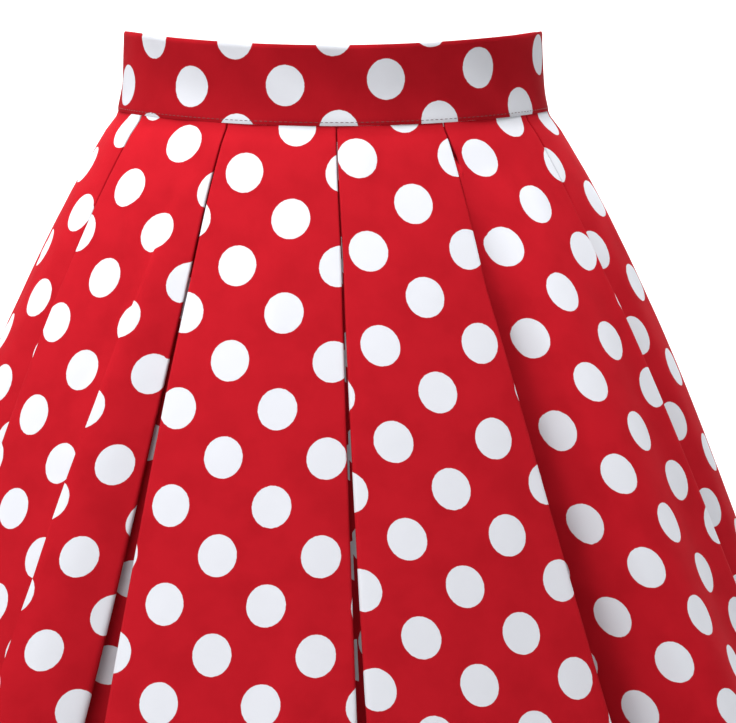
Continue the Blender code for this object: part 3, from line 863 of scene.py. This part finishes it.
def enamel():
    finish = Finish("red_enamel", Metallic=0.15, Coat_Weight=0.5, Coat_Roughness=0.15)
    place = finish.node("ShaderNodeTexCoord", output="Object")
    scuffs = finish.noise(place, SCUFF_SCALE, 4.0, 0.7)
    return finish.drive(
        Base_Color=finish.blend(finish.ramp(scuffs, *SCUFF_RANGE), ENAMEL, ENAMEL_WORN),
        Roughness=ENAMEL_ROUGHNESS + scuffs * SCUFF_ROUGHNESS,
        Normal=finish.bump(scuffs, ENAMEL_BUMP, FINE_BUMP_DEPTH),
    )


def band_shape(angle_share, drop):
    """Wrinkles of the band, outwards: it is pressed flat at its edges and creased across its middle."""
    down = 1.0 + drop / BAND_HEIGHT
    from_edges = np.sin(math.pi * down)
    run = angle_share * BAND_ROUND
    level = np.zeros_like(run)
    for wrinkle in WRINKLES:
        wave = np.sin(run / wrinkle.spacing + wrinkle.slant * down)
        group = np.sin(run / wrinkle.group + wrinkle.group_shift + wrinkle.group_slant * down)
        level += wrinkle.depth * wave * group
    return level * from_edges**WRINKLE_TAPER - BAND_SAG * from_edges


def band_cloth(start, end, steps, where, print_start):
    """Outer and inner points of a band piece, its place in the print, and its one span of columns."""
    middle = Section(-BAND_HEIGHT / 2).length
    outer, inner, prints = [], [], []
    for drop in np.linspace(-BAND_HEIGHT, 0.0, BAND_ROWS + 1):
        ring = Section(drop)
        begin = start + seam_gap(start, drop) / ring.length
        until = end - seam_gap(end, drop) / ring.length
        shares = mix(begin, until, np.linspace(0.0, 1.0, steps + 1))
        lift = SEAM_GAP / 2 * (1.0 + drop / BAND_HEIGHT)
        to_edge = min(-drop, drop + BAND_HEIGHT)
        round_off = math.sqrt(max(0.0, 1.0 - (1.0 - min(1.0, to_edge / BAND_EDGE_ROUND)) ** 2))
        from_stitches = (-drop - SEAM_STITCH_ABOVE) / STITCH_DIMPLE_WIDTH
        stitched = STITCH_DIMPLE * math.exp(-(from_stitches**2))
        half = BAND_WALL / 2 * mix(BAND_EDGE_SHARE, 1.0, round_off) - stitched
        wrinkles = band_shape(shares, drop)
        outside = ring.points(shares, -BAND_PROUD - wrinkles - half)
        inside = ring.points(shares, -BAND_PROUD - wrinkles * WRINKLE_INSIDE + half)
        outer.append(outside + (0.0, 0.0, lift))
        inner.append(inside + (0.0, 0.0, lift))
        across = (shares - print_start) * middle
        fall = np.full_like(across, drop + BAND_HEIGHT)
        prints.append([printed(across, fall, where)])
    return np.array(outer), np.array(inner), prints, [(0, steps)]


def rounds_along(name, path, finish, pitch, length, width, thickness):
    """A row of small rounds along a path, such as stitches, from a tree of nodes, as one mesh."""
    mesh = bpy.data.meshes.new(name)
    edges = [(i, i + 1) for i in range(len(path) - 1)]
    mesh.from_pydata([tuple(p) for p in path], edges, [])
    made = bpy.data.objects.new(name, mesh)
    bpy.context.scene.collection.objects.link(made)
    tree = bpy.data.node_groups.new(name + "_row", "GeometryNodeTree")
    tree.interface.new_socket("Geometry", in_out="INPUT", socket_type="NodeSocketGeometry")
    sizes = {"Pitch": pitch, "Length": length, "Width": width, "Thickness": thickness}
    identifiers = {}
    for label in sizes:
        socket = tree.interface.new_socket(label, in_out="INPUT", socket_type="NodeSocketFloat")
        identifiers[label] = socket.identifier
    tree.interface.new_socket("Geometry", in_out="OUTPUT", socket_type="NodeSocketGeometry")

    def node(kind, settings=None, **inputs):
        return add_node(tree, kind, settings, inputs).outputs

    given = node("NodeGroupInput")
    curve = node("GeometryNodeMeshToCurve", Mesh=given["Geometry"])[0]
    spaced = node("GeometryNodeResampleCurve", {"mode": "LENGTH"}, Curve=curve, Length=given["Pitch"])[0]
    ball = node("GeometryNodeMeshIcoSphere", Radius=0.5, Subdivisions=ROUND_SUBDIVISIONS)[0]
    size = node("ShaderNodeCombineXYZ", X=given["Length"], Y=given["Thickness"], Z=given["Width"])[0]
    small = node("GeometryNodeTransform", Geometry=ball, Scale=size)[0]
    tangent = node("GeometryNodeInputTangent")[0]
    turned = node("FunctionNodeAlignRotationToVector", {"axis": "X"}, Vector=tangent)[0]
    row = node("GeometryNodeInstanceOnPoints", Points=spaced, Instance=small, Rotation=turned)[0]
    solid = node("GeometryNodeRealizeInstances", Geometry=row)[0]
    dressed = node("GeometryNodeSetMaterial", Geometry=solid, Material=finish)[0]
    node("NodeGroupOutput", Geometry=dressed)
    modifier = made.modifiers.new("row", "NODES")
    modifier.node_group = tree
    for label, value in sizes.items():
        modifier[identifiers[label]] = value
    return plain_mesh(made)


def plain_mesh(made):
    """Replaces an object's modifiers by their result."""
    evaluated = made.evaluated_get(bpy.context.evaluated_depsgraph_get())
    mesh = bpy.data.meshes.new_from_object(evaluated)
    made.modifiers.clear()
    old = made.data
    made.data = mesh
    bpy.data.meshes.remove(old)
    return made


def band_pieces(cotton, sewing):
    sides = (
        ("waistband_front", -SIDE_SEAM, SIDE_SEAM, BAND_STEPS, BAND_PRINT_FRONT, 0.0),
        ("waistband_back_left", SIDE_SEAM, HALF_TURN, BAND_STEPS // 2, BAND_PRINT_BACK, HALF_TURN),
        ("waistband_back_right", HALF_TURN, 1 - SIDE_SEAM, BAND_STEPS // 2, BAND_PRINT_BACK, HALF_TURN),
    )
    for node, start, end, steps, where, print_start in sides:
        outer, inner, prints, spans = band_cloth(start, end, steps, where, print_start)
        band = sewn_wall(node + "_cloth", outer, inner, prints, spans, (cotton, cotton))
        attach(band, "skirt")
        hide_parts(node)
        stitches = seam_stitches(node, start, end, sewing)


def skirt_pieces(cotton, reverse, sewing):
    sides = (
        ("skirt_front", -SIDE_SEAM, SIDE_SEAM),
        ("skirt_back_left", SIDE_SEAM, HALF_TURN),
        ("skirt_back_right", HALF_TURN, 1 - SIDE_SEAM),
    )
    for node, start, end in sides:
        points, prints, spans = skirt_cloth(start, end)
        out = facing_out(points)
        turned_rows = int(np.sum(row_drops() > SKIRT_DROP - HEM_TURN))
        thick = np.full((SKIRT_ROWS + 1, 1, 1), CLOTH / 2)
        thick[-turned_rows:] += HEM_LAYER
        skirt = sewn_wall(
            node + "_cloth",
            points + out * CLOTH / 2,
            points - out * thick,
            prints,
            spans,
            (cotton, reverse),
            turned_rows,
        )
        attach(skirt, "skirt")
        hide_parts(node)
        stitches = hem_stitches(node, points, out, sewing)


def stitches_along(name, path, finish):
    row = rounds_along(name, path, finish, STITCH_PITCH, STITCH_LENGTH, STITCH_THICK, STITCH_THICK)
    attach(row, "skirt")
    return row


def seam_stitches(node, start, end, finish):
    ring = Section(-SEAM_STITCH_ABOVE)
    count = int((end - start) * ring.length / PATH_STEP)
    inset = PATH_STEP / ring.length
    shares = np.linspace(start + inset, end - inset, count)
    wrinkles = band_shape(shares, -SEAM_STITCH_ABOVE)
    path = ring.points(shares, -BAND_PROUD - BAND_WALL / 2 - wrinkles + STITCH_SUNK)
    return stitches_along("stitches_" + node, path, finish)


def hem_stitches(node, points, out, finish):
    r = int(np.argmin(np.abs(row_drops() - (SKIRT_DROP - HEM_STITCH_ABOVE))))
    return stitches_along("stitches_" + node, points[r] + out[r] * CLOTH / 2, finish)


def zip_coil(finish):
    """The closed coil behind the slit, seen only from inside the garment."""
    drops = np.arange(HINGE_BELOW_EDGE + COIL_BELOW_SLIDER, ZIP_LENGTH, PATH_STEP) - BAND_HEIGHT
    path = [Section(drop).points([HALF_TURN - SAME_PLACE], COIL_INWARD)[0] for drop in drops]
    coil = rounds_along("zip_coil", path, finish, COIL_PITCH, COIL_WIRE, COIL_WIDTH, COIL_THICK)
    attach(coil, "skirt")


def camera():
    data = bpy.data.cameras.new("camera")
    made = bpy.data.objects.new("camera", data)
    bpy.context.scene.collection.objects.link(made)
    made.location = CAMERA_PLACE
    made.rotation_euler = (math.radians(90.0 - CAMERA_PITCH_DEG), 0.0, 0.0)
    data.sensor_width = SENSOR_MM
    data.lens = SENSOR_MM * CAMERA_FOCAL_PIXELS / FRAME_WIDTH_PIXELS
    data.clip_end = CAMERA_SEES_TO
    bpy.context.scene.camera = made


def studio_sweep():
    """A pale floor that curves up behind the skirt into a plain backdrop."""
    turn = np.linspace(0.0, math.pi / 2, SWEEP_STEPS)
    curve_y = SWEEP_BACK - SWEEP_CURVE + SWEEP_CURVE * np.sin(turn)
    curve_z = FLOOR + SWEEP_CURVE - SWEEP_CURVE * np.cos(turn)
    profile = [(-SWEEP_REACH, FLOOR), *zip(curve_y, curve_z), (SWEEP_BACK, SWEEP_TOP)]
    points = [(x, float(y), float(z)) for y, z in profile for x in (-SWEEP_REACH, SWEEP_REACH)]
    faces = [(2 * i, 2 * i + 1, 2 * i + 3, 2 * i + 2) for i in range(len(profile) - 1)]
    mesh = bpy.data.meshes.new("studio_sweep")
    mesh.from_pydata(points, [], faces)
    mesh.shade_smooth()
    mesh.materials.append(Finish("studio_paper", Roughness=0.9, Base_Color=PAPER).material)
    sweep = bpy.data.objects.new("studio_sweep", mesh)
    bpy.context.scene.collection.objects.link(sweep)


def studio_light():
    for lamp in LAMPS:
        light = bpy.data.lights.new(lamp.name, "AREA")
        light.shape = "DISK"
        light.size = lamp.size
        light.energy = lamp.power
        made = bpy.data.objects.new(lamp.name, light)
        bpy.context.scene.collection.objects.link(made)
        made.location = lamp.place
        towards = Vector(lamp.aim) - Vector(lamp.place)
        made.rotation_euler = towards.to_track_quat("-Z", "Y").to_euler()
    world = bpy.data.worlds.new("studio")
    world.use_nodes = True
    background = world.node_tree.nodes["Background"]
    background.inputs[0].default_value = (1.0, 1.0, 1.0, 1.0)
    background.inputs[1].default_value = WORLD_LIGHT
    bpy.context.scene.world = world
    bpy.context.scene.view_settings.view_transform = "Standard"


def main():
    cotton = printed_cotton("red_spotted_cotton", RED, DEEP_RED, WHITE, INK_EDGE)
    reverse = printed_cotton(
        "red_spotted_cotton_reverse", REVERSE_RED, REVERSE_RED, REVERSE_WHITE, INK_EDGE_REVERSE
    )
    # The waistband's cloth is the same cotton with a darker red ground, as painted shade on the band
    band_painted_shade_cotton = printed_cotton(
        "red_spotted_cotton_band_painted_shade", BAND_PAINTED_SHADE_RED, BAND_PAINTED_SHADE_DEEP_RED, WHITE, INK_EDGE
    )
    sewing, tape, metal = thread(), woven_tape(), enamel()
    band_pieces(band_painted_shade_cotton, sewing)
    skirt_pieces(cotton, reverse, sewing)
    zip_coil(tape)
    finishes = {"zip_tape_left": tape, "zip_tape_right": tape, "zip_slider": metal, "zip_pull": metal}
    for node, finish in finishes.items():
        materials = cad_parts[node].data.materials
        materials.clear()
        materials.append(finish)
    camera()
    studio_sweep()
    studio_light()


main()
